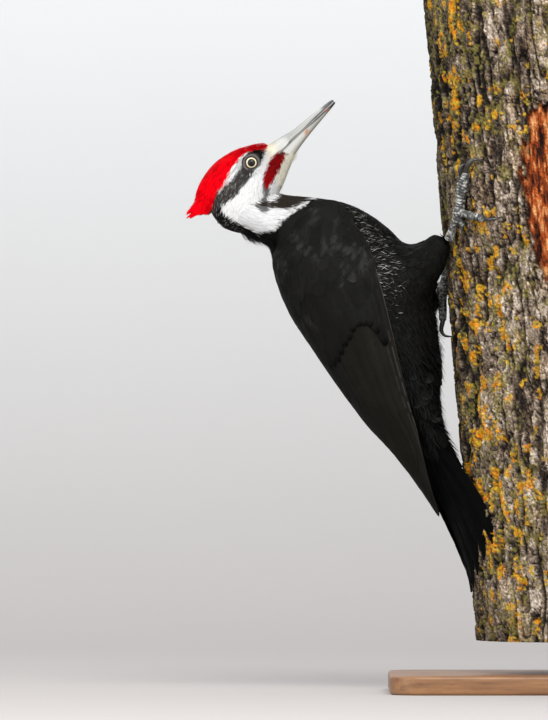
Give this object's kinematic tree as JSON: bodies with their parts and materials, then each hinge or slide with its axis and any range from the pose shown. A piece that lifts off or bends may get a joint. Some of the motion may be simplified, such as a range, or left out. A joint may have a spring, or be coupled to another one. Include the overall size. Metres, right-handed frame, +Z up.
{
  "type": "pileated woodpecker",
  "caption": "Life-size still model of a male pileated woodpecker clinging to a cut length of tree trunk, on a plain display stand.",
  "frame": {"origin": "centre of the underside of the display stand's base", "axes": "+Z up; the bird faces +X, towards the trunk, and its middle plane is y = 0; its right side is -Y"},
  "size_m": [0.4008, 0.19, 0.516],
  "materials": {
    "base_wood": "satin varnish",
    "rod_steel": "brushed",
    "bark": "furrowed bark with lichen",
    "black_plumage": "soft contour feathers",
    "white_plumage": "soft contour feathers",
    "red_plumage": "silky crest feathers",
    "flight_plumage": "smooth firm vanes",
    "bill_horn": "satin horn",
    "scaly_skin": "dry scutes",
    "claw_horn": "polished horn",
    "eye": "wet gloss"
  },
  "bodies": {
    "root": {"stand_base": "base_wood", "stand_rod_right": "rod_steel", "stand_rod_left": "rod_steel", "perch_log": "bark", "head": "white_plumage", "crest": "red_plumage", "bill_upper": "bill_horn", "bill_lower": "bill_horn", "neck": "white_plumage", "torso": "black_plumage", "tail": "flight_plumage", "eye_right": "eye", "wing_right": "flight_plumage", "thigh_right": "black_plumage", "tarsus_right": "scaly_skin", "foot_right": "scaly_skin", "claw_right_1": "claw_horn", "claw_right_2": "claw_horn", "claw_right_3": "claw_horn", "claw_right_4": "claw_horn", "eye_left": "eye", "wing_left": "flight_plumage", "thigh_left": "black_plumage", "tarsus_left": "scaly_skin", "foot_left": "scaly_skin", "claw_left_1": "claw_horn", "claw_left_2": "claw_horn", "claw_left_3": "claw_horn", "claw_left_4": "claw_horn"}
  },
  "joints": []
}
